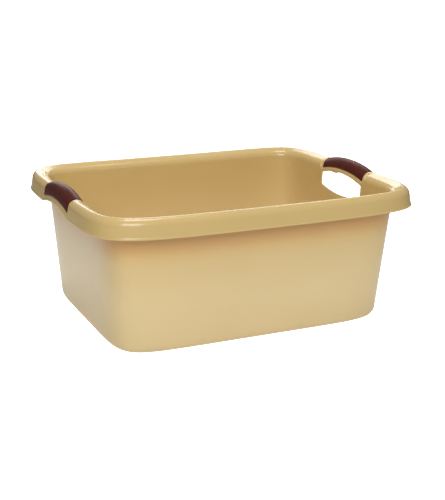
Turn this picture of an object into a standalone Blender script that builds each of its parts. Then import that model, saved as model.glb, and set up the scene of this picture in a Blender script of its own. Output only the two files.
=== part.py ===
"""An oblong plastic tub with a soft grip on the bar over each of its two hand openings.

The tub is one injection moulding of an even wall. Near the top the inside face flares to a narrow
ridge, and from there the rim rolls over into a hanging skirt. In the middle of each short side the
rim rises as an arched bar over an opening for the fingers. The bar is rounder than the rest of the
rim and has a shallow recess, and a soft grip lies in the recess, flush with the moulding.

Units are metres and +Z is up. The origin is under the middle of the base, at floor level, and the
long sides run along X.
"""
import math

import bmesh
import bpy

# The moulding as a whole
LENGTH = 0.492                  # over the skirt, along X
WIDTH = 0.411                   # over the skirt, along Y
RIM_HEIGHT = 0.199              # floor to the ridge of the rim
WALL = 0.0022                   # thickness of the moulded sheet
BASE_LENGTH = 0.419             # outside, where the wall turns into the foot
BASE_WIDTH = 0.330
FOOT_RADIUS = 0.016             # outside rounding between the wall and the base
RIM_SQUARENESS = 6.6            # superellipse power of the rim seen from above
BASE_SQUARENESS = 7.4           # the same for the base, which has tighter corners

# The rim, seen in section
WALL_INSET = 0.0282             # from the skirt's edge to the inside face, at the height of the ridge
SHOULDER_RADIUS = 0.0115        # where the inside face turns into the flare
FLARE_LEAN = math.radians(65)   # of the flare, from upright
RIDGE_RADIUS = 0.0052
CROWN_RADIUS = 0.0112           # outer rounding from the ridge down to the skirt
CROWN_TURN = math.radians(75)   # where the ridge passes into the crown
SKIRT_DROP = 0.0262             # ridge to the lower edge of the skirt
SKIRT_LEAN = math.radians(10)   # the skirt hangs slightly outwards
LIP_STEP = 0.0008               # small bead that stiffens the skirt's lower edge
LIP_HEIGHT = 0.0022
RIM_SAG = 0.0015                # the long sides of the rim sag a little between the corners

# The two handles
ARCH_LENGTH = 0.122             # stretch of the rim that rises as a bar
ARCH_RISE = 0.0080
ARCH_POWER = 2.2
BAR_LENGTH = 0.127              # stretch with the fuller section, grip and both cuffs
BAR_RIDGE_RADIUS = 0.0125
BAR_SHOULDER_RADIUS = 0.0050
BAR_LEAN = math.radians(15)
BAR_RAMP = 0.0028               # length over which the fuller section ends
OPENING_LENGTH = 0.120
OPENING_DROP = 0.0125           # from the ridge down to the highest point of the opening
OPENING_HEIGHT = 0.0350         # from there to its lowest point
OPENING_LOW_BOW = 0.0065        # how much the lower edge rises towards its ends
OPENING_HIGH_BOW = 0.0080       # how much the upper edge falls towards its ends
OPENING_CORNER = 0.0040
GRIP_LENGTH = 0.1180
GRIP_THICKNESS = 0.0016
GRIP_GAP = 0.0003               # bonding gap between grip and moulding
GRIP_PROUD = 0.0002             # how far the grip stands out of its recess
GRIP_INNER_DROP = 0.0143        # from the ridge to the grip's lower edge, on the inside of the bar
GRIP_OUTER_DROP = 0.0088        # from the end of the crown to the grip's lower edge, on the skirt
GRIP_ROUNDING = 0.0006          # rounding of the grip's edges
FLARE_EDGE_SHARE = 0.65         # share of the flare that a grip covers at most
CUT_OVERRUN = 0.0060            # how far a cutter stands past both faces of the wall
OPENING_HIGH = RIM_HEIGHT - OPENING_DROP
OPENING_LOW = OPENING_HIGH - OPENING_HEIGHT

# How finely the round stretches are divided
ARCH_STEPS = 6                  # along half a bar
CORNER_STEPS = 13               # along a quarter of the outline
FOOT_STEPS = 4
SHOULDER_STEPS = 3
RIDGE_STEPS = 4
CROWN_STEPS = 4
WALL_STEPS = 2                  # up the wall, below the bars
CURVE_STEPS = 7                 # along each stretch of the opening's outline
EDGE_STEPS = 2                  # across a rounded edge

BEIGE = "CDB27C"
BROWN = "4A2723"
MERGE_DISTANCE = 0.00002


def clear_scene():
    for item in list(bpy.data.objects):
        bpy.data.objects.remove(item, do_unlink=True)


def new_collection(name):
    group = bpy.data.collections.new(name)
    bpy.context.scene.collection.children.link(group)
    return group


def linear_colour(code):
    """Turns an sRGB hex code into linear colour values."""
    values = [int(code[place:place + 2], 16) / 255 for place in (0, 2, 4)]
    return [v / 12.92 if v <= 0.04045 else ((v + 0.055) / 1.055) ** 2.4 for v in values] + [1.0]


def plastic(name, code, roughness):
    material = bpy.data.materials.new(name)
    material.use_nodes = True
    shader = material.node_tree.nodes["Principled BSDF"]
    shader.inputs["Base Color"].default_value = linear_colour(code)
    shader.inputs["Roughness"].default_value = roughness
    shader.inputs["Metallic"].default_value = 0.0
    return material


def mix(first, second, share):
    return first + (second - first) * share


def arc(middle, radius, first, last, steps):
    """Points of an arc as (outward, height, turn of the outward normal), both ends included."""
    turns = [mix(first, last, step / steps) for step in range(steps + 1)]
    out, height = middle
    return [(out + radius * math.cos(turn), height + radius * math.sin(turn), turn) for turn in turns]


def wall_lean():
    """How far the inside face leans from upright, taken on the short sides."""
    run = LENGTH / 2 - WALL_INSET - BASE_LENGTH / 2 + WALL
    return math.atan(run / (RIM_HEIGHT - FOOT_RADIUS))


def rim_section(fullness):
    """Section of the rim as (outward, height, turn), from the inside wall over the ridge to the skirt.

    Outward is counted from the skirt's lower edge, so it is negative over the rim. The fullness is
    0 for the flared rim and 1 for the bars.
    """
    ridge_radius = mix(RIDGE_RADIUS, BAR_RIDGE_RADIUS, fullness)
    shoulder_radius = mix(SHOULDER_RADIUS, BAR_SHOULDER_RADIUS, fullness)
    flare = math.pi - mix(FLARE_LEAN, BAR_LEAN, fullness)
    wall = math.pi - wall_lean()
    low = RIM_HEIGHT - SKIRT_DROP
    crown_height = RIM_HEIGHT - RIDGE_RADIUS - (CROWN_RADIUS - RIDGE_RADIUS) * math.sin(CROWN_TURN)
    skirt_top = crown_height + CROWN_RADIUS * math.sin(SKIRT_LEAN)
    skirt_top_out = -LIP_STEP - (skirt_top - low - LIP_HEIGHT) * math.tan(SKIRT_LEAN)
    crown = (skirt_top_out - CROWN_RADIUS * math.cos(SKIRT_LEAN), crown_height)
    spread = CROWN_RADIUS - ridge_radius
    ridge = (crown[0] + spread * math.cos(CROWN_TURN), crown[1] + spread * math.sin(CROWN_TURN))
    # The flare is as long as it takes for the shoulder to touch the wall
    spread = ridge_radius - shoulder_radius
    start = (ridge[0] + spread * math.cos(flare), ridge[1] + spread * math.sin(flare))
    wall_distance = WALL_INSET * math.cos(wall_lean()) + RIM_HEIGHT * math.sin(wall_lean())
    to_wall = wall_distance - shoulder_radius - start[0] * math.cos(wall) - start[1] * math.sin(wall)
    run = max(to_wall / math.sin(wall - flare), 0)
    shoulder = (start[0] - run * math.sin(flare), start[1] + run * math.cos(flare))
    inner = arc(shoulder, shoulder_radius, wall, flare, SHOULDER_STEPS)
    over = arc(ridge, ridge_radius, flare, CROWN_TURN, RIDGE_STEPS)
    # On a bar these two points lie at the lower end of the recess, elsewhere somewhere on the flare
    edge = max(over[0][1] - RIM_HEIGHT + GRIP_INNER_DROP, 0) / max(over[0][1] - inner[-1][1], MERGE_DISTANCE)
    edge = min(edge, FLARE_EDGE_SHARE)
    step = min((recess_depth() + GRIP_GAP) / max(run, recess_depth()), (1 - FLARE_EDGE_SHARE) / 2)
    shares = [edge + step, edge]
    slope = [tuple(mix(upper, lower, share) for upper, lower in zip(over[0], inner[-1])) for share in shares]
    outer = arc(crown, CROWN_RADIUS, CROWN_TURN, SKIRT_LEAN, CROWN_STEPS)
    end = outer[-1]
    skirt = [(end[0] + reach * math.sin(SKIRT_LEAN), end[1] - reach * math.cos(SKIRT_LEAN), SKIRT_LEAN)
             for reach in (GRIP_OUTER_DROP + GRIP_GAP, GRIP_OUTER_DROP + recess_depth() + GRIP_GAP)]
    lip = [(-LIP_STEP, low + LIP_HEIGHT, 0.0), (0.0, low + LIP_HEIGHT - LIP_STEP, 0.0), (0.0, low, 0.0)]
    return inner + slope + over + outer[1:] + skirt + lip


def recess_depth():
    return GRIP_THICKNESS + GRIP_GAP - GRIP_PROUD


def pushed_in(point, depth):
    """A section point moved into the moulding, square to the surface."""
    outward, height, turn = point
    return outward - depth * math.cos(turn), height - depth * math.sin(turn), turn


def recessed_section(fullness, depth):
    """The section with the grip's recess: every point between the two flush edges is pushed in."""
    section = rim_section(fullness)
    covered = range(SHOULDER_STEPS + 2, len(section) - 4)
    return [pushed_in(point, depth if place in covered else 0.0) for place, point in enumerate(section)]


def arch(y):
    share = min(abs(y) / (ARCH_LENGTH / 2), 1.0)
    return ARCH_RISE * (1 - share ** ARCH_POWER)


def rim_lift(x, y):
    """How far a point of the rim lies above the level of the corners."""
    if x > y * LENGTH / WIDTH:
        return arch(y)
    return -RIM_SAG * (1 - (2 * x / LENGTH) ** 2)


def stations():
    """Turns round a quarter of the outline, each with the fullness and the recess of its section."""
    floor_end = GRIP_LENGTH / 2 + GRIP_GAP
    along_bar = [(floor_end * step / ARCH_STEPS, 1.0, recess_depth()) for step in range(ARCH_STEPS + 1)]
    along_bar.append((floor_end + recess_depth(), 1.0, 0.0))
    along_bar.append((BAR_LENGTH / 2, 1.0, 0.0))
    along_bar.append((BAR_LENGTH / 2 + BAR_RAMP, 0.0, 0.0))
    turns = [math.asin((2 * place[0] / WIDTH) ** (RIM_SQUARENESS / 2)) for place in along_bar]
    found = [(turn, full, depth) for turn, (_, full, depth) in zip(turns, along_bar)]
    last = turns[-1]
    round_corner = [math.pi / 2 * step / CORNER_STEPS for step in range(CORNER_STEPS + 1)]
    return found + [(turn, 0.0, 0.0) for turn in round_corner if turn > last * 1.5]


def outline_point(length, width, squareness, inset, turn):
    """A point of a superellipse moved inwards, square to its edge, by the inset."""
    along, across = round(math.cos(turn), 12), round(math.sin(turn), 12)
    x_share, y_share = along ** (2 / squareness), across ** (2 / squareness)
    x_slope, y_slope = x_share ** (squareness - 1) / length, y_share ** (squareness - 1) / width
    slope = math.hypot(x_slope, y_slope)
    return length / 2 * x_share - inset * x_slope / slope, width / 2 * y_share - inset * y_slope / slope


def shell_column(turn, fullness, depth):
    """Points of the moulding's show side at one place of the outline, from the floor over the rim."""
    column = []
    foot = FOOT_RADIUS - WALL
    for inward, height, _ in arc((foot, FOOT_RADIUS), foot, -math.pi / 2, -math.pi, FOOT_STEPS):
        x, y = outline_point(BASE_LENGTH - 2 * WALL, BASE_WIDTH - 2 * WALL, BASE_SQUARENESS, inward, turn)
        column.append((x, y, height))
    low_x, low_y, low = column[-1]
    section = recessed_section(fullness, depth)
    rim_x, rim_y = outline_point(LENGTH, WIDTH, RIM_SQUARENESS, 0.0, turn)
    lift = rim_lift(rim_x, rim_y)
    outward, top, _ = section[0]
    top_x, top_y = outline_point(LENGTH, WIDTH, RIM_SQUARENESS, -outward, turn)
    heights = [mix(FOOT_RADIUS, OPENING_LOW, step / WALL_STEPS) for step in range(1, WALL_STEPS + 1)]
    heights.append((OPENING_LOW + top) / 2)
    for height in heights:
        share = (height - low) / (top - low)
        lifted = max(height - OPENING_LOW, 0) / (top - OPENING_LOW) * lift
        column.append((mix(low_x, top_x, share), mix(low_y, top_y, share), height + lifted))
    for outward, height, _ in section:
        x, y = outline_point(LENGTH, WIDTH, RIM_SQUARENESS, -outward, turn)
        column.append((x, y, height + lift))
    return column


def grid_mesh(name, columns, middle=None):
    """A mesh of quads between columns of points; with a middle point the first ring is filled."""
    mesh_data = bmesh.new()
    rows = [[mesh_data.verts.new(point) for point in column] for column in columns]
    for here, after in zip(rows, rows[1:]):
        for place in range(len(here) - 1):
            mesh_data.faces.new((here[place], here[place + 1], after[place + 1], after[place]))
    if middle is not None:
        mesh_data.faces.new([mesh_data.verts.new(middle)] + [row[0] for row in rows])
    mesh = bpy.data.meshes.new(name)
    mesh_data.to_mesh(mesh)
    mesh_data.free()
    mesh.shade_smooth()
    return mesh


def add_object(name, mesh, group, material=None):
    item = bpy.data.objects.new(name, mesh)
    group.objects.link(item)
    if material is not None and not mesh.materials:
        mesh.materials.append(material)
    return item


def mirror(item, along_x, along_y):
    modifier = item.modifiers.new("Other side", "MIRROR")
    modifier.use_axis = (along_x, along_y, False)
    modifier.use_clip = True
    modifier.merge_threshold = MERGE_DISTANCE


def thicken(item, thickness, side):
    modifier = item.modifiers.new("Sheet", "SOLIDIFY")
    modifier.thickness = thickness
    modifier.offset = side
    modifier.use_even_offset = True


def opening_outline():
    """Corners of the hand opening as (y, z, handle to the last, handle to the next), for Bezier curves."""
    half = OPENING_LENGTH / 2
    low_end, high_end = OPENING_LOW + OPENING_LOW_BOW, OPENING_HIGH - OPENING_HIGH_BOW
    bow = half - OPENING_CORNER
    low_pull, high_pull = 4 / 3 * OPENING_LOW_BOW, 4 / 3 * OPENING_HIGH_BOW
    round_share, bow_share = 0.55, 0.5
    corner = OPENING_CORNER * round_share
    right = [
        (bow, low_end, (-bow * bow_share, -low_pull), (corner, 0.0)),
        (half, low_end + OPENING_CORNER, (0.0, -corner), (0.0, corner)),
        (half, high_end - OPENING_CORNER, (0.0, -corner), (0.0, corner)),
        (bow, high_end, (corner, 0.0), (-bow * bow_share, high_pull)),
    ]
    left = [(-y, z, (-after[0], after[1]), (-before[0], before[1])) for y, z, before, after in right]
    return right + left[::-1]


def wall_face(height):
    """Distance of the short sides' inside face from the middle of the tub, at a height above the foot."""
    share = (height - FOOT_RADIUS) / (RIM_HEIGHT - FOOT_RADIUS)
    return mix(BASE_LENGTH / 2 - WALL, LENGTH / 2 - WALL_INSET, share)


def opening_cutter(name, side, group):
    """A block in the outline of the hand opening that passes through the wall of a short side."""
    curve = bpy.data.curves.new(name, "CURVE")
    curve.dimensions = "2D"
    curve.fill_mode = "BOTH"
    curve.resolution_u = CURVE_STEPS
    corners = opening_outline()
    spline = curve.splines.new("BEZIER")
    spline.bezier_points.add(len(corners) - 1)
    spline.use_cyclic_u = True
    for point, (y, z, before, after) in zip(spline.bezier_points, corners):
        point.handle_left_type = point.handle_right_type = "FREE"
        point.co = (y, z, 0.0)
        point.handle_left = (y + before[0], z + before[1], 0.0)
        point.handle_right = (y + after[0], z + after[1], 0.0)
    faces = (wall_face(OPENING_LOW), wall_face(OPENING_HIGH))
    inner_face, outer_face = min(faces), max(faces) + WALL
    curve.extrude = (outer_face - inner_face) / 2 + CUT_OVERRUN
    outline = bpy.data.objects.new(name + "_outline", curve)
    group.objects.link(outline)
    outline.location.x = side * (inner_face + outer_face) / 2
    outline.rotation_euler = (math.pi / 2, 0.0, math.pi / 2)
    bpy.context.view_layer.update()
    mesh = bpy.data.meshes.new_from_object(outline.evaluated_get(bpy.context.evaluated_depsgraph_get()))
    caps = bmesh.new()
    caps.from_mesh(mesh)
    bmesh.ops.remove_doubles(caps, verts=caps.verts, dist=MERGE_DISTANCE)
    bmesh.ops.recalc_face_normals(caps, faces=caps.faces)
    caps.to_mesh(mesh)
    caps.free()
    cutter = add_object(name, mesh, group)
    cutter.matrix_world = outline.matrix_world
    bpy.data.objects.remove(outline, do_unlink=True)
    cutter.hide_render = True
    cutter.display_type = "WIRE"
    return cutter


def make_shell(parts, cutters):
    """The tub itself: a quarter of the sheet is lofted, mirrored twice and given its wall."""
    columns = [shell_column(turn, fullness, depth) for turn, fullness, depth in stations()]
    mesh = grid_mesh("tub_shell", columns, middle=(0.0, 0.0, WALL))
    shell = add_object("tub_shell", mesh, parts, plastic("satin_polypropylene_beige", BEIGE, 0.35))
    mirror(shell, True, True)
    thicken(shell, WALL, -1.0)
    for name, side in (("left_opening", -1), ("right_opening", 1)):
        cut = shell.modifiers.new(name, "BOOLEAN")
        cut.object = opening_cutter(name, side, cutters)
        cut.operation = "DIFFERENCE"
        cut.solver = "EXACT"
    return shell


def grip_mesh():
    """Half of the saddle over a bar, as an open sheet that lies just off the floor of the recess."""
    section = rim_section(1.0)[SHOULDER_STEPS + 2:-4]
    for place, side in ((0, 1), (-1, -1)):
        outward, height, turn = section[place]
        step = (GRIP_GAP * math.sin(turn), GRIP_GAP * abs(math.cos(turn)))
        section[place] = (outward + side * step[0], height + step[1], turn)
    section = [pushed_in(point, recess_depth() - GRIP_GAP) for point in section]
    columns = []
    for step in range(ARCH_STEPS + 1):
        y = GRIP_LENGTH / 2 * step / ARCH_STEPS
        columns.append([(LENGTH / 2 + outward, y, height + arch(y)) for outward, height, _ in section])
    return grid_mesh("grip", columns)


def make_grips(parts):
    """Both grips share one mesh: the left one is the right one turned half round."""
    mesh = grip_mesh()
    material = plastic("soft_touch_elastomer_brown", BROWN, 0.55)
    for name, turn in (("right_grip", 0.0), ("left_grip", math.pi)):
        grip = add_object(name, mesh, parts, material)
        grip.rotation_euler.z = turn
        mirror(grip, False, True)
        thicken(grip, GRIP_THICKNESS, 1.0)
        edge = grip.modifiers.new("Soft edges", "BEVEL")
        edge.width = GRIP_ROUNDING
        edge.segments = EDGE_STEPS
        edge.limit_method = "ANGLE"
        edge.angle_limit = math.radians(50)


def main():
    clear_scene()
    parts = new_collection("plastic_tub")
    cutters = new_collection("cutters")
    make_shell(parts, cutters)
    make_grips(parts)


main()
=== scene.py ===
# %% [markdown]
# # An oblong plastic tub with two soft grips
# The real tub comes out of one mould as a thin sheet of polypropylene. Its wall flares at the top, rolls
# over a narrow ridge and hangs down again as a skirt. In the middle of each short side the rim rises as
# a bar over a hand opening, and a soft grip is moulded on to each bar.
#
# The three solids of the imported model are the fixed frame. Each of them gets a finer piece in its place,
# made from the same sizes, and then its plastic, the light and the camera.

# %% Load the frame
import math

import bmesh
import bpy
from mathutils import Matrix, Vector


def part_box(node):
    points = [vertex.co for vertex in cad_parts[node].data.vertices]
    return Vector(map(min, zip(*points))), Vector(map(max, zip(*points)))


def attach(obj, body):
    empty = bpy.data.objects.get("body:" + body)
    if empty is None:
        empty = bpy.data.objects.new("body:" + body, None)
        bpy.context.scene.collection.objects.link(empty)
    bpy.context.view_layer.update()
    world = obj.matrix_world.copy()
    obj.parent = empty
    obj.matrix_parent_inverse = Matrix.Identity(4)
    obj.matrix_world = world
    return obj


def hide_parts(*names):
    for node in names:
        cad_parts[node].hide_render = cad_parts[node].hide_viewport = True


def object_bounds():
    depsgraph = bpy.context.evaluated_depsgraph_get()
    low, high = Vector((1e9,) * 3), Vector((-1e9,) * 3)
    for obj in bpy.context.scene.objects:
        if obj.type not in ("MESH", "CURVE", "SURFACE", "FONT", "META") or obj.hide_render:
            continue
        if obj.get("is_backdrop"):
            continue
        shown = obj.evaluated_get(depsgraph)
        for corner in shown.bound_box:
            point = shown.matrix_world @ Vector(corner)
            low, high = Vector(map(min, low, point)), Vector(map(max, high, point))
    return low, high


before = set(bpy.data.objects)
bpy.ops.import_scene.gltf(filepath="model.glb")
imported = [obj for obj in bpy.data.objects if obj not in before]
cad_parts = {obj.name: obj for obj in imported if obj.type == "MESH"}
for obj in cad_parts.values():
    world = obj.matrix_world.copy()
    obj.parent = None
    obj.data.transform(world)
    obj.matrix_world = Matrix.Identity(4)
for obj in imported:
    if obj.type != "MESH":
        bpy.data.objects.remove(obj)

cad_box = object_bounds()
shell_low, shell_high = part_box("tub_shell")
LENGTH = shell_high.x - shell_low.x
WIDTH = shell_high.y - shell_low.y
print(f"frame: {sorted(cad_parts)}, {LENGTH * 1000:.1f} x {WIDTH * 1000:.1f} mm over the skirt")

# %% [markdown]
# ## Camera
# The photograph was taken from the front left and a little above, with a long lens. The camera stands at
# the place that a perspective fit of the rim, the base and the corners gave, without any shift, so that
# the other views can turn it round the tub.

# %% Camera
CAMERA_PLACE = (-0.6079, -1.3697, 0.5176)
CAMERA_YAW = math.radians(-24.383)
CAMERA_PITCH = math.radians(-16.067)
CAMERA_ROLL = math.radians(0.194)
LENS_MM = 74.07
SENSOR_MM = 36.0

lens = bpy.data.cameras.new("camera")
lens.lens = LENS_MM
lens.sensor_width = SENSOR_MM
camera = bpy.data.objects.new("camera", lens)
bpy.context.scene.collection.objects.link(camera)
turned = Matrix.Rotation(CAMERA_YAW, 4, "Z") @ Matrix.Rotation(math.pi / 2 + CAMERA_PITCH, 4, "X")
camera.matrix_world = Matrix.Translation(CAMERA_PLACE) @ turned @ Matrix.Rotation(CAMERA_ROLL, 4, "Z")
bpy.context.scene.camera = camera
print(f"camera {Vector(CAMERA_PLACE).length:.2f} m from the middle of the base")

# %% [markdown]
# ## Sizes of the moulding
# A moulded sheet has the same thickness all over, so one drawing of its show side says everything: the
# inside of the tub and the outside of the rim. The drawing has two parts. The outline seen from above is
# a superellipse, which has straighter sides and rounder corners than an ellipse. The section through the
# wall and the rim is a chain of arcs and straight runs.

# %% Sizes of the moulding, in metres
RIM_HEIGHT = 0.199              # up to the ridge, away from the bars
WALL = 0.0022
BASE_LENGTH = 0.419
BASE_WIDTH = 0.330
FOOT_RADIUS = 0.016             # outer rounding between the wall and the floor
RIM_SQUARENESS = 6.6            # power of the superellipse: 2 is an ellipse, and more is squarer
BASE_SQUARENESS = 7.4
WALL_INSET = 0.0282             # from the skirt's edge to the inside face, at the height of the ridge
SHOULDER_RADIUS = 0.0115        # where the inside face turns into the flare
FLARE_LEAN = math.radians(65)   # leans are measured from upright
RIDGE_RADIUS = 0.0052
CROWN_RADIUS = 0.0112           # outer rounding from the ridge down to the skirt
CROWN_TURN = math.radians(75)   # where the ridge's arc passes into the crown's
SKIRT_DROP = 0.0262
SKIRT_LEAN = math.radians(10)
LIP_STEP = 0.0008               # small bead along the skirt's lower edge
LIP_HEIGHT = 0.0022
RIM_SAG = 0.0015                # the long sides of the rim sag a little between the corners
SAG_END_SHARE = 0.9             # share of the half length at which the sag has run out

ARCH_LENGTH = 0.122             # the bar rises in an arch over this length
ARCH_RISE = 0.0080
ARCH_POWER = 2.2
BAR_LENGTH = 0.127              # stretch with the fuller section, grip and both cuffs
BAR_RIDGE_RADIUS = 0.0125
BAR_SHOULDER_RADIUS = 0.0050
BAR_LEAN = math.radians(15)
BAR_RAMP = 0.0028               # length over which the bar's section passes into the flared rim
OPENING_LENGTH = 0.120
OPENING_LOW = 0.1515            # heights of the hand opening's two edges in the middle
OPENING_HIGH = 0.1865
OPENING_LOW_BOW = 0.0065        # how far the edges bend towards each other at the ends
OPENING_HIGH_BOW = 0.0080
OPENING_CORNER = 0.0040
GRIP_LENGTH = 0.1180
GRIP_THICKNESS = 0.0016
GRIP_GAP = 0.0003               # stands for the bond between grip and bar
GRIP_PROUD = 0.0002             # how far the grip stands out of the bar
GRIP_INNER_DROP = 0.0143        # how far the grip reaches down inside, and outside past the crown
GRIP_OUTER_DROP = 0.0088
FLARE_EDGE_SHARE = 0.65         # the grip's inner edge lies no further down the flare than this
RECESS = GRIP_THICKNESS + GRIP_GAP - GRIP_PROUD
SMALLEST = 0.00001              # below any size made here: points closer than this are one

# %% [markdown]
# ## Section of the rim
# Each point of the section holds how far out it lies from the skirt's edge, its height, and the turn of
# the surface there, which says in what direction the recess for the grip is pushed in. The flare is
# made as long as it takes for the shoulder to touch the wall. Fullness goes from 0, the flared rim, to 1,
# the rounder bar.

# %% Section of the rim
SHOULDER_STEPS = 7
FLARE_STEPS = 3
RIDGE_STEPS = 9
CROWN_STEPS = 10
SKIRT_STEPS = 3
WALL_LEAN = math.atan((LENGTH / 2 - WALL_INSET - BASE_LENGTH / 2 + WALL) / (RIM_HEIGHT - FOOT_RADIUS))


def mix(first, second, share):
    return first + (second - first) * share


def between(first, second, steps):
    """Points on the straight run between two section points, without its ends."""
    shares = [step / steps for step in range(1, steps)]
    return [tuple(mix(a, b, share) for a, b in zip(first, second)) for share in shares]


def arc(middle, radius, first, last, steps):
    turns = [mix(first, last, step / steps) for step in range(steps + 1)]
    return [(middle[0] + radius * math.cos(turn), middle[1] + radius * math.sin(turn), turn)
            for turn in turns]


def rim_section(fullness):
    """Section from the inside wall over the ridge to the skirt's edge, and which points a grip covers."""
    ridge_radius = mix(RIDGE_RADIUS, BAR_RIDGE_RADIUS, fullness)
    shoulder_radius = mix(SHOULDER_RADIUS, BAR_SHOULDER_RADIUS, fullness)
    flare = math.pi - mix(FLARE_LEAN, BAR_LEAN, fullness)
    wall = math.pi - WALL_LEAN

    # Crown and ridge: two arcs that touch. The skirt's lower edge says how far out they lie.
    low = RIM_HEIGHT - SKIRT_DROP
    crown_height = RIM_HEIGHT - RIDGE_RADIUS - (CROWN_RADIUS - RIDGE_RADIUS) * math.sin(CROWN_TURN)
    skirt_top = crown_height + CROWN_RADIUS * math.sin(SKIRT_LEAN)
    skirt_top_out = -LIP_STEP - (skirt_top - low - LIP_HEIGHT) * math.tan(SKIRT_LEAN)
    crown = (skirt_top_out - CROWN_RADIUS * math.cos(SKIRT_LEAN), crown_height)
    spread = CROWN_RADIUS - ridge_radius
    ridge = (crown[0] + spread * math.cos(CROWN_TURN), crown[1] + spread * math.sin(CROWN_TURN))

    # Flare: a straight run down from the ridge, until the shoulder's arc touches the wall.
    spread = ridge_radius - shoulder_radius
    start = (ridge[0] + spread * math.cos(flare), ridge[1] + spread * math.sin(flare))
    wall_distance = WALL_INSET * math.cos(WALL_LEAN) + RIM_HEIGHT * math.sin(WALL_LEAN)
    to_wall = wall_distance - shoulder_radius - start[0] * math.cos(wall) - start[1] * math.sin(wall)
    run = max(to_wall / math.sin(wall - flare), 0)
    shoulder = (start[0] - run * math.sin(flare), start[1] + run * math.cos(flare))
    inner = arc(shoulder, shoulder_radius, wall, flare, SHOULDER_STEPS)
    over = arc(ridge, ridge_radius, flare, CROWN_TURN, RIDGE_STEPS)
    outer = arc(crown, CROWN_RADIUS, CROWN_TURN, SKIRT_LEAN, CROWN_STEPS)

    # Each edge of the grip has two points: where it ends, and where the recess has run out.
    edge = max(over[0][1] - RIM_HEIGHT + GRIP_INNER_DROP, 0) / max(over[0][1] - inner[-1][1], SMALLEST)
    edge = min(edge, FLARE_EDGE_SHARE)
    step = min((RECESS + GRIP_GAP) / max(run, RECESS), (1 - FLARE_EDGE_SHARE) / 2)
    slope = [tuple(mix(upper, lower, share) for upper, lower in zip(over[0], inner[-1]))
             for share in (edge + step, edge)]
    end = outer[-1]
    skirt = [(end[0] + reach * math.sin(SKIRT_LEAN), end[1] - reach * math.cos(SKIRT_LEAN), SKIRT_LEAN)
             for reach in (GRIP_OUTER_DROP + GRIP_GAP, GRIP_OUTER_DROP + RECESS + GRIP_GAP)]
    lip = [(-LIP_STEP, low + LIP_HEIGHT, 0.0), (0.0, low + LIP_HEIGHT - LIP_STEP, 0.0), (0.0, low, 0.0)]

    before = inner + [slope[0]]
    under_grip = [slope[1]] + between(slope[1], over[0], FLARE_STEPS) + over + outer[1:]
    under_grip += between(end, skirt[0], SKIRT_STEPS) + [skirt[0]]
    after = [skirt[1]] + between(skirt[1], lip[0], SKIRT_STEPS) + lip
    return before + under_grip + after, range(len(before), len(before) + len(under_grip))


def pushed_in(point, depth):
    outward, height, turn = point
    return outward - depth * math.cos(turn), height - depth * math.sin(turn), turn


flared, covered = rim_section(0.0)
print(f"rim section: {len(flared)} points, of which a grip covers {len(covered)}")

# %% [markdown]
# ## Rows and columns of the unrolled wall
# The wall is drawn flat first, like the label of a bottle: rows run round the tub and columns run from
# the middle of the floor over the rim to the skirt's edge. On the short sides the columns stand upright
# and the rows bend round the hand opening, so that the opening is simply a block of cells that is left
# out, with a clean edge. That is tidier than a Boolean cut, which leaves slivers that spoil a rounded edge.

# %% Edges of the bar and of the opening
def arch(y):
    """How far the bar rises above the rest of the rim."""
    share = min(abs(y) / (ARCH_LENGTH / 2), 1.0)
    return ARCH_RISE * (1 - share ** ARCH_POWER)


def opening_edge(y, middle, bow, side):
    """Height of the opening's lower (side 1) or upper (side -1) edge, with its rounded corners."""
    straight = OPENING_LENGTH / 2 - OPENING_CORNER
    y = min(abs(y), OPENING_LENGTH / 2)
    height = middle + side * bow * min(y / straight, 1.0) ** 2
    past = max(y - straight, 0.0)
    return height + side * (OPENING_CORNER - math.sqrt(max(OPENING_CORNER ** 2 - past ** 2, 0.0)))


opening_height = (OPENING_HIGH - OPENING_LOW) * 1000
print(f"hand opening: {OPENING_LENGTH * 1000:.0f} mm long, {opening_height:.0f} mm high in the middle")

# %% Columns and rows
FLOOR_SHARES = (0.0, 0.35, 0.7)  # rows on the floor, as shares of the way to its rounding
FOOT_STEPS = 8
BELOW_STEPS = 18                # rows of cells from the foot to the opening
OPENING_STEPS = 8
ABOVE_STEPS = 3
BAR_STEPS = 18                  # columns of cells along half an opening, between its corners
CORNER_ARC_STEPS = 6
CUFF_STEPS = 4
RAMP_STEPS = 4
ROUND_STEPS = 62                # columns of cells from a bar's end to the middle of a long side


def column_places():
    """(y, fullness, depth of the recess) of the columns along half a bar, from its middle."""
    straight = OPENING_LENGTH / 2 - OPENING_CORNER
    recess_end = GRIP_LENGTH / 2 + GRIP_GAP
    places = [straight * step / BAR_STEPS for step in range(BAR_STEPS + 1)]
    turns = [math.pi / 2 * step / CORNER_ARC_STEPS for step in range(1, CORNER_ARC_STEPS + 1)]
    places += [straight + OPENING_CORNER * math.sin(turn) for turn in turns]
    cuff_shares = [step / CUFF_STEPS for step in range(1, CUFF_STEPS + 1)]
    places += [mix(OPENING_LENGTH / 2, BAR_LENGTH / 2, share) for share in cuff_shares]
    places += [recess_end, recess_end + RECESS]
    found = [(y, 1.0, RECESS if y <= recess_end else 0.0) for y in sorted(places)]
    found = [place for place in found if not recess_end < place[0] < recess_end + RECESS]
    for step in range(1, RAMP_STEPS + 1):
        share = step / RAMP_STEPS
        fullness = 1 - share * share * (3 - 2 * share)
        found.append((BAR_LENGTH / 2 + BAR_RAMP * share, fullness, 0.0))
    return found


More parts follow.
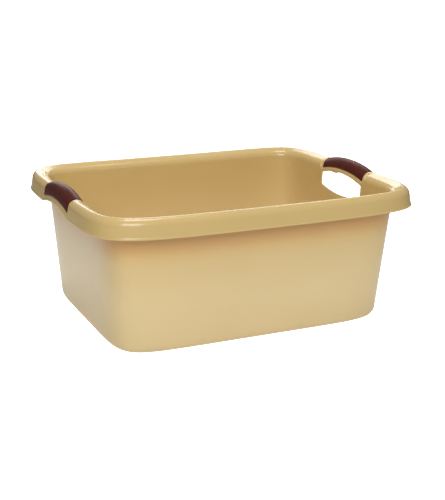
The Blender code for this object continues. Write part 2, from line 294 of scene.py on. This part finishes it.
def column_rows(y, lift, fullness, depth):
    """One column as (reach, climb, inset of the base, inset of the rim, height).

    Reach is the share of the way from the middle of the floor. Climb goes from 0, on the base's outline,
    to 1, on the rim's.
    """
    radius = FOOT_RADIUS - WALL
    rows = [(share, 0.0, radius, 0.0, WALL) for share in FLOOR_SHARES]
    for inward, height, _ in arc((radius, FOOT_RADIUS), radius, -math.pi / 2, -math.pi, FOOT_STEPS):
        rows.append((1.0, 0.0, inward, 0.0, height))
    section, under_grip = rim_section(fullness)
    section = [pushed_in(point, depth if place in under_grip else 0.0)
               for place, point in enumerate(section)]
    out, top, _ = section[0]
    low = opening_edge(y, OPENING_LOW, OPENING_LOW_BOW, 1)
    high = opening_edge(y, OPENING_HIGH, OPENING_HIGH_BOW, -1)
    heights = [mix(FOOT_RADIUS, low, step / BELOW_STEPS) for step in range(1, BELOW_STEPS + 1)]
    heights += [mix(low, high, step / OPENING_STEPS) for step in range(1, OPENING_STEPS + 1)]
    heights += [mix(high, top + lift, step / ABOVE_STEPS) for step in range(1, ABOVE_STEPS)]
    climb = top + lift - FOOT_RADIUS
    rows += [(1.0, (height - FOOT_RADIUS) / climb, 0.0, -out, height) for height in heights]
    rows += [(1.0, 1.0, 0.0, -outward, height + lift) for outward, height, _ in section]
    return rows


bar_columns = column_places()
OPENING_COLUMNS = sum(1 for place in bar_columns if place[0] <= OPENING_LENGTH / 2 + SMALLEST) - 1
print(f"half a bar: {len(bar_columns)} columns of points, half an opening: {OPENING_COLUMNS} of cells")

# %% A quarter of the wall
def wall_reach(row):
    """How far along X the two outlines, blended for a row, lie from the middle. Insets come later."""
    return mix(BASE_LENGTH / 2 - WALL, LENGTH / 2, row[1])


def outline_x(turn):
    """X of the rim's outline in the direction of a turn."""
    shares = (2 * math.cos(turn) / LENGTH, 2 * math.sin(turn) / WIDTH)
    return math.cos(turn) * sum(abs(share) ** RIM_SQUARENESS for share in shares) ** (-1 / RIM_SQUARENESS)


def quarter_columns():
    """Columns from the middle of a short side to the middle of a long side, as (heading, row) pairs."""
    columns = []
    for y, fullness, depth in bar_columns:
        rows = column_rows(y, arch(y), fullness, depth)
        columns.append([(Vector((wall_reach(row), y, 0.0)).normalized(), row) for row in rows])
    bar_end = bar_columns[-1][0]
    for step in range(1, ROUND_STEPS + 1):
        share = step / ROUND_STEPS
        at_middle = step == ROUND_STEPS
        rim_turn = mix(math.atan(2 * bar_end / LENGTH), math.pi / 2, share)
        x = 0.0 if at_middle else outline_x(rim_turn)
        lift = -RIM_SAG * max(1 - (2 * x / (LENGTH * SAG_END_SHARE)) ** 2, 0.0)
        column = []
        for row in column_rows(OPENING_LENGTH / 2, lift, 0.0, 0.0):
            turn = mix(math.atan(bar_end / wall_reach(row)), math.pi / 2, share)
            heading = (0.0, 1.0, 0.0) if at_middle else (math.cos(turn), math.sin(turn), 0.0)
            column.append((Vector(heading), row))
        columns.append(column)
    return columns


quarter = quarter_columns()
print(f"quarter of the wall: {len(quarter)} columns of {len(quarter[0])} points")

# %% [markdown]
# ## Strip mesh
# The four quarters are laid side by side, every second one turned over, and joined to one flat strip.
# What the columns know is kept on the points as attributes, where the node tree can read it by name.

# %% Strip mesh
ATTRIBUTES = ("reach", "climb", "base_inset", "rim_inset", "height")


def ring_of_columns():
    """The columns all round the tub, and the first one once more, where the ring closes."""
    ring = []
    for x_side, y_side in ((1, 1), (-1, 1), (-1, -1), (1, -1)):
        part = []
        for column in quarter:
            part.append([(Vector((way.x * x_side, way.y * y_side, 0.0)), row) for way, row in column])
        if x_side != y_side:
            part.reverse()
        ring += part if not ring else part[1:]
    return ring


def in_opening(column_number, row_number, ring_length):
    """Whether a cell belongs to a hand opening. These lie round the first and the middle column."""
    first_row = len(FLOOR_SHARES) + FOOT_STEPS + BELOW_STEPS
    if not first_row <= row_number < first_row + OPENING_STEPS:
        return False
    middles = (0, (ring_length - 1) // 2, ring_length - 1)
    return any(-OPENING_COLUMNS <= column_number - middle < OPENING_COLUMNS for middle in middles)


def strip_object():
    data = bmesh.new()
    heading_layer = data.verts.layers.float_vector.new("heading")
    layers = [data.verts.layers.float.new(name) for name in ATTRIBUTES]
    columns = []
    for number, column in enumerate(ring_of_columns()):
        points = []
        for heading, row in column:
            point = data.verts.new((number * SMALLEST, 0.0, row[-1]))
            point[heading_layer] = heading
            for layer, value in zip(layers, row):
                point[layer] = value
            points.append(point)
        columns.append(points)
    for number, (here, after) in enumerate(zip(columns, columns[1:])):
        for row in range(len(here) - 1):
            if not in_opening(number, row, len(columns)):
                data.faces.new((here[row], here[row + 1], after[row + 1], after[row]))
    loose = [point for point in data.verts if not point.link_faces]
    bmesh.ops.delete(data, geom=loose, context="VERTS")
    mesh = bpy.data.meshes.new("unrolled_wall")
    data.to_mesh(mesh)
    data.free()
    strip = bpy.data.objects.new("moulded_tub", mesh)
    bpy.context.scene.collection.objects.link(strip)
    return strip


moulding = strip_object()
print(f"strip: {len(moulding.data.vertices)} points, {len(moulding.data.polygons)} cells")

# %% [markdown]
# ## Node tree that rolls the strip up
# The rule of the tub's shape is the superellipse. A small group works out where an outline lies in a given
# heading and moves that point inwards, square to the outline. The tree uses it twice, for the base and for
# the rim, and blends the two by how far a point has climbed the wall. With its sizes as inputs, the same
# strip could be rolled up to a longer, narrower or rounder tub.

# %% Helper that adds a node
MATH = "ShaderNodeMath"
VECTOR_MATH = "ShaderNodeVectorMath"


def add(tree, kind, settings=None, inputs=None):
    """Adds a node, sets its properties, and gives its inputs a value or a link."""
    made = tree.nodes.new(kind)
    for name, value in (settings or {}).items():
        setattr(made, name, value)
    for place, value in (inputs or {}).items():
        if isinstance(value, bpy.types.NodeSocket):
            tree.links.new(value, made.inputs[place])
        else:
            made.inputs[place].default_value = value
    return made


# %% Group for the rounded oblong
def rounded_oblong():
    tree = bpy.data.node_groups.new("Rounded oblong", "GeometryNodeTree")
    tree.interface.new_socket("Heading", in_out="INPUT", socket_type="NodeSocketVector")
    for name in ("Length", "Width", "Squareness", "Inset"):
        tree.interface.new_socket(name, in_out="INPUT", socket_type="NodeSocketFloat")
    tree.interface.new_socket("Point", in_out="OUTPUT", socket_type="NodeSocketVector")
    given = add(tree, "NodeGroupInput").outputs
    heading = add(tree, "ShaderNodeSeparateXYZ", inputs={0: given["Heading"]}).outputs
    power = given["Squareness"]

    # Where the outline lies: |x / a| and |y / b|, each to the power, add up to 1.
    sides, terms = [], []
    for axis, size in (("X", "Length"), ("Y", "Width")):
        half = add(tree, MATH, {"operation": "MULTIPLY"}, {0: given[size], 1: 0.5}).outputs[0]
        share = add(tree, MATH, {"operation": "DIVIDE"}, {0: heading[axis], 1: half}).outputs[0]
        plain = add(tree, MATH, {"operation": "ABSOLUTE"}, {0: share}).outputs[0]
        terms.append(add(tree, MATH, {"operation": "POWER"}, {0: plain, 1: power}).outputs[0])
        sides.append((half, share, plain))
    total = add(tree, MATH, {"operation": "ADD"}, {0: terms[0], 1: terms[1]}).outputs[0]
    root = add(tree, MATH, {"operation": "DIVIDE"}, {0: -1.0, 1: power}).outputs[0]
    reach = add(tree, MATH, {"operation": "POWER"}, {0: total, 1: root}).outputs[0]
    point = add(tree, VECTOR_MATH, {"operation": "SCALE"}, {
        "Vector": given["Heading"], "Scale": reach}).outputs[0]

    # Which way is square to it: along the slope of that same sum.
    lower_power = add(tree, MATH, {"operation": "SUBTRACT"}, {0: power, 1: 1.0}).outputs[0]
    slopes = []
    for half, share, plain in sides:
        near = add(tree, MATH, {"operation": "MULTIPLY"}, {0: plain, 1: reach}).outputs[0]
        raised = add(tree, MATH, {"operation": "POWER"}, {0: near, 1: lower_power}).outputs[0]
        steep = add(tree, MATH, {"operation": "DIVIDE"}, {0: raised, 1: half}).outputs[0]
        sign = add(tree, MATH, {"operation": "SIGN"}, {0: share}).outputs[0]
        slopes.append(add(tree, MATH, {"operation": "MULTIPLY"}, {0: steep, 1: sign}).outputs[0])
    slope = add(tree, "ShaderNodeCombineXYZ", inputs={"X": slopes[0], "Y": slopes[1]}).outputs[0]
    outward = add(tree, VECTOR_MATH, {"operation": "NORMALIZE"}, {0: slope}).outputs[0]
    step = add(tree, VECTOR_MATH, {"operation": "SCALE"}, {
        "Vector": outward, "Scale": given["Inset"]}).outputs[0]
    moved = add(tree, VECTOR_MATH, {"operation": "SUBTRACT"}, {0: point, 1: step}).outputs[0]
    add(tree, "NodeGroupOutput", inputs={"Point": moved})
    return tree


oblong = rounded_oblong()
print(f"group {oblong.name}: {len(oblong.nodes)} nodes")

# %% Tree for the whole tub
TUB_SIZES = {
    "Rim length": LENGTH,
    "Rim width": WIDTH,
    "Rim squareness": RIM_SQUARENESS,
    "Base length": BASE_LENGTH - 2 * WALL,
    "Base width": BASE_WIDTH - 2 * WALL,
    "Base squareness": BASE_SQUARENESS,
}


def rolled_tub_tree():
    tree = bpy.data.node_groups.new("Tub from strip", "GeometryNodeTree")
    tree.interface.new_socket("Geometry", in_out="INPUT", socket_type="NodeSocketGeometry")
    for name in TUB_SIZES:
        tree.interface.new_socket(name, in_out="INPUT", socket_type="NodeSocketFloat")
    tree.interface.new_socket("Plastic", in_out="INPUT", socket_type="NodeSocketMaterial")
    tree.interface.new_socket("Geometry", in_out="OUTPUT", socket_type="NodeSocketGeometry")
    given = add(tree, "NodeGroupInput").outputs
    named = "GeometryNodeInputNamedAttribute"
    kept = {name: add(tree, named, {"data_type": "FLOAT"}, {"Name": name}).outputs[0] for name in ATTRIBUTES}
    heading = add(tree, named, {"data_type": "FLOAT_VECTOR"}, {"Name": "heading"}).outputs[0]
    points = []
    for place in ("Base", "Rim"):
        points.append(add(tree, "GeometryNodeGroup", {"node_tree": oblong}, {
            "Heading": heading,
            "Length": given[place + " length"],
            "Width": given[place + " width"],
            "Squareness": given[place + " squareness"],
            "Inset": kept[place.lower() + "_inset"],
        }).outputs[0])
    climbed = add(tree, "ShaderNodeMix", {"data_type": "VECTOR"}, {
        0: kept["climb"], 4: points[0], 5: points[1]}).outputs[1]
    spread = add(tree, VECTOR_MATH, {"operation": "SCALE"}, {
        "Vector": climbed, "Scale": kept["reach"]}).outputs[0]
    up = add(tree, "ShaderNodeCombineXYZ", inputs={"Z": kept["height"]}).outputs[0]
    place = add(tree, VECTOR_MATH, {"operation": "ADD"}, {0: spread, 1: up}).outputs[0]
    shape = add(tree, "GeometryNodeSetPosition", inputs={
        "Geometry": given["Geometry"], "Position": place}).outputs[0]
    shape = add(tree, "GeometryNodeMergeByDistance", inputs={
        "Geometry": shape, "Distance": SMALLEST}).outputs[0]
    shape = add(tree, "GeometryNodeSetShadeSmooth", inputs={"Geometry": shape}).outputs[0]
    shape = add(tree, "GeometryNodeRealizeInstances", inputs={"Geometry": shape}).outputs[0]
    shape = add(tree, "GeometryNodeSetMaterial", inputs={
        "Geometry": shape, "Material": given["Plastic"]}).outputs[0]
    add(tree, "NodeGroupOutput", inputs={"Geometry": shape})
    return tree


rolled_tub = rolled_tub_tree()
print(f"tree {rolled_tub.name}: {len(rolled_tub.nodes)} nodes")

# %% [markdown]
# ## Beige polypropylene
# The tub is polypropylene, coloured through with a warm beige and moulded against a finely blasted steel.
# That gives the eye a satin surface with soft, wide highlights. The colour drifts by a few per cent where
# the melt has flowed, and the skin is very slightly uneven, which keeps the highlights from looking
# machined.
#
# Thin polypropylene also lets some light through. The beige is painted paler towards the foot, where light
# comes back up from the floor. It is also painted darker and warmer in a band of shade on the outside, just
# below the skirt. There the skirt shades the wall, and the light that reaches it has first passed through
# the skirt's own plastic. Both are blends by height here.

# %% Helpers for materials
MILLIMETRE = 0.001


def linear(code):
    """Turns an sRGB hex code into the linear colour that shaders work in."""
    values = [int(code[place:place + 2], 16) / 255 for place in (0, 2, 4)]
    bent = [value / 12.92 if value <= 0.04045 else ((value + 0.055) / 1.055) ** 2.4 for value in values]
    return (*bent, 1.0)


def new_material(name, values):
    """A material with one shader, and those values of it that are the same all over."""
    material = bpy.data.materials.new(name)
    material.use_nodes = True
    tree = material.node_tree
    shader = tree.nodes["Principled BSDF"]
    for place, value in values.items():
        shader.inputs[place].default_value = value
    return material, tree, shader


# %% Beige polypropylene
BEIGE_HIGH = "D6B97C"           # the rim and the upper wall
BEIGE_FLOOR_LIT = "E1C995"            # painted light: paler down by the foot, where light comes back up from the floor
BEIGE_SKIRT_SHADE = "DAAB6A"           # painted shade just under the skirt, warmed like light that came through the skirt's plastic
BEIGE_FROM, BEIGE_TO = 0.060, 0.172     # heights over which the painted floor light fades from the low beige into the high one
SKIRT_SHADE_FROM, SKIRT_SHADE_TO = 0.125, 0.160       # heights over which the painted skirt shade comes in
SKIRT_FROM, SKIRT_TO = 0.166, 0.172     # and over which it goes out again, behind the skirt
FLOW_MM = 90.0                  # width of the cloudy drift in the colour
FLOW_SHARE = 0.03               # how far the drift darkens or lightens the colour
ROUGHNESS_LOW, ROUGHNESS_HIGH = 0.20, 0.24
SKIN_MM = 9.0                   # long waves of the moulded skin
SKIN_STRENGTH, SKIN_DEPTH = 0.10, 0.0004
GRAIN_MM = 1.6                  # blasted grain: finer on the real skin, drawn as coarse as it shows
GRAIN_STRENGTH, GRAIN_DEPTH = 0.06, 0.0001
MAP_RANGE = "ShaderNodeMapRange"
SMOOTH = {"interpolation_type": "SMOOTHSTEP"}


def beige_polypropylene():
    material, tree, shader = new_material("satin_moulded_polypropylene", {"IOR": 1.49, "Metallic": 0.0})
    where = add(tree, "ShaderNodeTexCoord").outputs
    place = where["Object"]
    height = add(tree, "ShaderNodeSeparateXYZ", inputs={0: place}).outputs["Z"]

    # Painted light: the beige is painted paler by the foot, where light comes back up from the floor, and
    # deepens up to the rim.
    rise = add(tree, MAP_RANGE, SMOOTH, {
        "Value": height, "From Min": BEIGE_FROM, "From Max": BEIGE_TO}).outputs[0]
    shade = add(tree, "ShaderNodeMix", {"data_type": "RGBA"}, {
        0: rise, 6: linear(BEIGE_FLOOR_LIT), 7: linear(BEIGE_HIGH)}).outputs[2]

    # Painted shade: a darker, warmer band just under the skirt, where the skirt shades the wall.
    # It lies on the outside only, where the surface faces away from the middle of the tub.
    skirt_shade = add(tree, MAP_RANGE, SMOOTH, {
        "Value": height, "From Min": SKIRT_SHADE_FROM, "From Max": SKIRT_SHADE_TO}).outputs[0]
    skirt_shade = add(tree, MAP_RANGE, SMOOTH, {
        "Value": height, "From Min": SKIRT_FROM, "From Max": SKIRT_TO,
        "To Min": skirt_shade, "To Max": 0.0}).outputs[0]
    away = add(tree, VECTOR_MATH, {"operation": "DOT_PRODUCT"}, {
        0: place, 1: where["Normal"]}).outputs["Value"]
    outside = add(tree, MATH, {"operation": "GREATER_THAN"}, {0: away, 1: 0.0}).outputs[0]
    skirt_shade_share = add(tree, MATH, {"operation": "MULTIPLY"}, {0: skirt_shade, 1: outside}).outputs[0]
    skirt_shaded = add(tree, "ShaderNodeMix", {"data_type": "RGBA"}, {
        0: skirt_shade_share, 6: shade, 7: linear(BEIGE_SKIRT_SHADE)}).outputs[2]

    # The flow of the melt clouds the colour and the gloss.
    flow = add(tree, "ShaderNodeTexNoise", inputs={
        "Vector": place, "Scale": 1 / (FLOW_MM * MILLIMETRE), "Detail": 2.0, "Roughness": 0.5}).outputs[0]
    drift = add(tree, MAP_RANGE, inputs={
        "Value": flow, "To Min": 1 - FLOW_SHARE, "To Max": 1 + FLOW_SHARE}).outputs[0]
    colour = add(tree, VECTOR_MATH, {"operation": "SCALE"}, {0: skirt_shaded, "Scale": drift}).outputs[0]
    tree.links.new(colour, shader.inputs["Base Color"])
    gloss = add(tree, MAP_RANGE, inputs={
        "Value": flow, "To Min": ROUGHNESS_LOW, "To Max": ROUGHNESS_HIGH}).outputs[0]
    tree.links.new(gloss, shader.inputs["Roughness"])

    # The skin: long waves, and a fine grain on them.
    skin = add(tree, "ShaderNodeTexNoise", inputs={
        "Vector": place, "Scale": 1 / (SKIN_MM * MILLIMETRE), "Detail": 1.0}).outputs[0]
    grain = add(tree, "ShaderNodeTexNoise", inputs={
        "Vector": place, "Scale": 1 / (GRAIN_MM * MILLIMETRE), "Detail": 2.0}).outputs[0]
    waves = add(tree, "ShaderNodeBump", inputs={
        "Strength": SKIN_STRENGTH, "Distance": SKIN_DEPTH, "Height": skin}).outputs[0]
    relief = add(tree, "ShaderNodeBump", inputs={
        "Strength": GRAIN_STRENGTH, "Distance": GRAIN_DEPTH, "Height": grain, "Normal": waves}).outputs[0]
    tree.links.new(relief, shader.inputs["Normal"])
    return material


beige = beige_polypropylene()
print(f"material {beige.name}: {len(beige.node_tree.nodes)} nodes")

# %% [markdown]
# ## The moulding
# The tree rolls up the show side. Its result is made a plain mesh, and then the sheet gets its wall and
# the small roundings that every moulded edge has. They catch the thin bright lines along the skirt and
# round the openings.

# %% Helpers for meshes
SHARP = math.radians(38)        # edges that turn by more than this are rounded


def plain_mesh(item):
    """Replaces an object's mesh by what its modifiers make, and removes them."""
    bpy.context.view_layer.update()
    evaluated = item.evaluated_get(bpy.context.evaluated_depsgraph_get())
    mesh = bpy.data.meshes.new_from_object(evaluated)
    item.modifiers.clear()
    item.data = mesh


def set_input(modifier, name, value):
    for socket in modifier.node_group.interface.items_tree:
        if socket.item_type == "SOCKET" and socket.in_out == "INPUT" and socket.name == name:
            modifier[socket.identifier] = value


def thicken_and_round(item, thickness, side, rounding, steps):
    """Gives a sheet its wall, behind it (side -1) or in front of it (side 1), and rounds the edges."""
    sheet = item.modifiers.new("Sheet", "SOLIDIFY")
    sheet.thickness = thickness
    sheet.offset = side
    sheet.use_even_offset = True
    edges = item.modifiers.new("Rounded edges", "BEVEL")
    edges.width = rounding
    edges.segments = steps
    edges.limit_method = "ANGLE"
    edges.angle_limit = SHARP
    plain_mesh(item)
    item.data.shade_smooth()


def volume_and_open_edges(item):
    """Volume in litres, above zero where the faces point outwards, and the number of open edges."""
    data = bmesh.new()
    data.from_mesh(item.data)
    litres = data.calc_volume(signed=True) * 1000
    gaps = sum(1 for edge in data.edges if len(edge.link_faces) != 2)
    data.free()
    return litres, gaps


# %% Roll up the strip
EDGE_ROUNDING = 0.0005          # metres, as on every edge that a mould leaves
EDGE_STEPS = 2

roll = moulding.modifiers.new("Roll up", "NODES")
roll.node_group = rolled_tub
for size_name, size in TUB_SIZES.items():
    set_input(roll, size_name, size)
set_input(roll, "Plastic", beige)
plain_mesh(moulding)
for name in (*ATTRIBUTES, "heading"):
    moulding.data.attributes.remove(moulding.data.attributes[name])
thicken_and_round(moulding, WALL, -1.0, EDGE_ROUNDING, EDGE_STEPS)
volume, open_edges = volume_and_open_edges(moulding)
faces = len(moulding.data.polygons)
print(f"moulding: {volume:.3f} litres of plastic, {open_edges} open edges, {faces} faces")
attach(moulding, "root")
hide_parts("tub_shell")

# %% [markdown]
# ## Dark soft grips
# The grips are a thermoplastic elastomer, moulded on to the bars in a second shot. It feels like rubber,
# and its stippled skin is matt, so that even under soft boxes it mirrors next to nothing and stays dark.

# %% Dark elastomer
BROWN = "5C2D26"
BROWN_DEEP = "512821"           # clouds of a slightly deeper brown, as wide as the waves of the skin
STIPPLE_MM = 1.1                # stippled skin: finer on the real grip, drawn as coarse as it shows
STIPPLE_STRENGTH, STIPPLE_DEPTH = 0.15, 0.0001
ELASTOMER = {
    "IOR": 1.5,
    "Roughness": 0.36,
    "Specular IOR Level": 0.03,  # matched to the photograph, where the grips mirror next to nothing
}


def brown_elastomer():
    material, tree, shader = new_material("soft_touch_elastomer", ELASTOMER)
    place = add(tree, "ShaderNodeTexCoord").outputs["Object"]
    cloud = add(tree, "ShaderNodeTexNoise", inputs={
        "Vector": place, "Scale": 1 / (SKIN_MM * MILLIMETRE), "Detail": 3.0}).outputs[0]
    colour = add(tree, "ShaderNodeMix", {"data_type": "RGBA"}, {
        0: cloud, 6: linear(BROWN), 7: linear(BROWN_DEEP)}).outputs[2]
    tree.links.new(colour, shader.inputs["Base Color"])
    stipple = add(tree, "ShaderNodeTexNoise", inputs={
        "Vector": place, "Scale": 1 / (STIPPLE_MM * MILLIMETRE), "Detail": 2.0}).outputs[0]
    relief = add(tree, "ShaderNodeBump", inputs={
        "Strength": STIPPLE_STRENGTH, "Distance": STIPPLE_DEPTH, "Height": stipple}).outputs[0]
    tree.links.new(relief, shader.inputs["Normal"])
    return material


brown = brown_elastomer()
print(f"material {brown.name}: {len(brown.node_tree.nodes)} nodes")

# %% [markdown]
# ## Grip pieces
# A grip is a saddle over a bar. It could be cut out of a block, but it is simpler to sweep that part of
# the bar's section which the grip covers, because the recess was made from the same points.

# %% Grip pieces
GRIP_ROUNDING = 0.0006
GRIP_EDGE_STEPS = 3
GRIP_COLUMNS = 60


def grip_object(name, side):
    """A saddle over a bar: the covered part of the section, swept along the bar and given its thickness."""
    section, under_grip = rim_section(1.0)
    section = [section[place] for place in under_grip]

    # Both ends of the saddle stop a gap's width before the recess does, and its back lies a gap above it.
    for place, way in ((0, 1), (-1, -1)):
        outward, height, turn = section[place]
        outward += way * GRIP_GAP * math.sin(turn)
        height += GRIP_GAP * abs(math.cos(turn))
        section[place] = (outward, height, turn)
    section = [pushed_in(point, RECESS - GRIP_GAP) for point in section]

    data = bmesh.new()
    columns = []
    for step in range(GRIP_COLUMNS + 1):
        y = mix(-GRIP_LENGTH / 2, GRIP_LENGTH / 2, step / GRIP_COLUMNS)
        columns.append([data.verts.new((side * (LENGTH / 2 + out), side * y, height + arch(y)))
                        for out, height, _ in section])
    for here, after in zip(columns, columns[1:]):
        for row in range(len(here) - 1):
            data.faces.new((here[row], here[row + 1], after[row + 1], after[row]))
    mesh = bpy.data.meshes.new(name)
    data.to_mesh(mesh)
    data.free()
    made = bpy.data.objects.new(name, mesh)
    bpy.context.scene.collection.objects.link(made)
    mesh.materials.append(brown)
    thicken_and_round(made, GRIP_THICKNESS, 1.0, GRIP_ROUNDING, GRIP_EDGE_STEPS)
    return made


for name, node, side in (("soft_grip_left", "left_grip", -1), ("soft_grip_right", "right_grip", 1)):
    grip = grip_object(name, side)
    volume, open_edges = volume_and_open_edges(grip)
    print(f"{name}: {volume * 1000:.1f} ml, {open_edges} open edges, {len(grip.data.polygons)} faces")
    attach(grip, "root")
    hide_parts(node)

# %% [markdown]
# ## Floor and light
# The tub was photographed in a white studio: light comes from everywhere, also back up from the floor,
# which makes the lower wall bright. The floor glows near the tub here, and the glow fades with distance,
# because a floor that glows far out lays a grey sheen on the grips. Only the camera sees the floor and
# the sky at full white, as the photograph shows them.
#
# Four soft boxes stand where the photograph's highlights mirror them: one above the camera, one
# opposite it behind the tub, a low one behind for the far rim, and one overhead.

# %% Floor
FLOOR_SIZE = 60.0
FLOOR_GAP = 0.0002              # keeps the floor clear of the tub's base
FLOOR_PAPER = "D8D8D8"
FLOOR_GLOW = 0.31               # strength of the light that comes back up from the floor beside the tub
POOL_NEAR, POOL_FAR = 0.5, 1.8  # metres from the tub over which the pool of light on the floor fades
SEEN_WHITE = 1.6                # what the camera itself sees of floor and sky, well past white
PAPER = {
    "Roughness": 0.9,
    "Specular IOR Level": 0.0,
    "Emission Color": (1.0, 1.0, 1.0, 1.0),
}


def camera_only(tree, seen, lit):
    """A strength that is one value to the camera and another to the rays that light the tub."""
    seen_now = add(tree, "ShaderNodeLightPath").outputs["Is Camera Ray"]
    return add(tree, "ShaderNodeMix", {"data_type": "FLOAT"}, {0: seen_now, 2: lit, 3: seen}).outputs[0]


def white_sweep():
    material, tree, shader = new_material("white_sweep", PAPER)
    place = add(tree, "ShaderNodeTexCoord").outputs["Object"]
    away = add(tree, VECTOR_MATH, {"operation": "LENGTH"}, {0: place}).outputs["Value"]
    pool = add(tree, MAP_RANGE, inputs={
        "Value": away, "From Min": POOL_NEAR, "From Max": POOL_FAR,
        "To Min": 1.0, "To Max": 0.0}).outputs[0]
    paper = add(tree, VECTOR_MATH, {"operation": "SCALE"}, {
        0: linear(FLOOR_PAPER)[:3], "Scale": pool}).outputs[0]
    tree.links.new(paper, shader.inputs["Base Color"])
    glow = add(tree, MATH, {"operation": "MULTIPLY"}, {0: pool, 1: FLOOR_GLOW}).outputs[0]
    tree.links.new(camera_only(tree, SEEN_WHITE, glow), shader.inputs["Emission Strength"])
    return material


data = bmesh.new()
bmesh.ops.create_grid(data, x_segments=1, y_segments=1, size=FLOOR_SIZE / 2)
mesh = bpy.data.meshes.new("floor")
data.to_mesh(mesh)
data.free()
mesh.materials.append(white_sweep())
floor = bpy.data.objects.new("floor", mesh)
floor.location.z = cad_box[0].z - FLOOR_GAP
bpy.context.scene.collection.objects.link(floor)
floor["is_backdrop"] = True
print(f"floor {FLOOR_SIZE:.0f} m wide, {FLOOR_GAP * 1000:.1f} mm under the tub")

# %% Light
LAMP_DISTANCE = 2.3
LAMP_CENTRE = (0.0, 0.0, 0.12)  # the lamps stand on a sphere about this point
LAMP_AIM = (0.0, 0.0, 0.1)
LAMPS = {                       # turn about the tub and height in degrees, size in metres, power in watts
    "key_box": (246, 31, 1.1, 1.0, 26.0),
    "back_box": (60, 33, 1.1, 1.05, 14.5),
    "rim_box": (82, 15, 0.9, 0.6, 5.5),
    "top_box": (50, 86, 0.9, 0.9, 23.0),
}
SKY_GLOW = 0.20                 # faint light from all round

world = bpy.data.worlds.new("studio")
bpy.context.scene.world = world
world.use_nodes = True
sky = world.node_tree.nodes["Background"]
sky.inputs["Color"].default_value = linear("FFFFFF")
world.node_tree.links.new(camera_only(world.node_tree, SEEN_WHITE, SKY_GLOW), sky.inputs["Strength"])
for name, (turn, rise, wide, high, power) in LAMPS.items():
    light = bpy.data.lights.new(name, "AREA")
    light.shape = "RECTANGLE"
    light.size, light.size_y = wide, high
    light.energy = power
    lamp = bpy.data.objects.new(name, light)
    bpy.context.scene.collection.objects.link(lamp)
    around, up = math.radians(turn), math.radians(rise)
    away = Vector((math.cos(up) * math.cos(around), math.cos(up) * math.sin(around), math.sin(up)))
    lamp.location = away * LAMP_DISTANCE + Vector(LAMP_CENTRE)
    lamp.rotation_euler = (Vector(LAMP_AIM) - lamp.location).to_track_quat("-Z", "Y").to_euler()
bpy.context.scene.view_settings.view_transform = "Standard"
print(f"light: lamps {list(LAMPS)}, floor glow {FLOOR_GLOW}")

# %% Write the sizes and finish
built_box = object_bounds()
for name, box in (("packed", cad_box), ("built", built_box)):
    print(f"{name} box in mm:", [[round(value * 1000, 1) for value in corner] for corner in box])
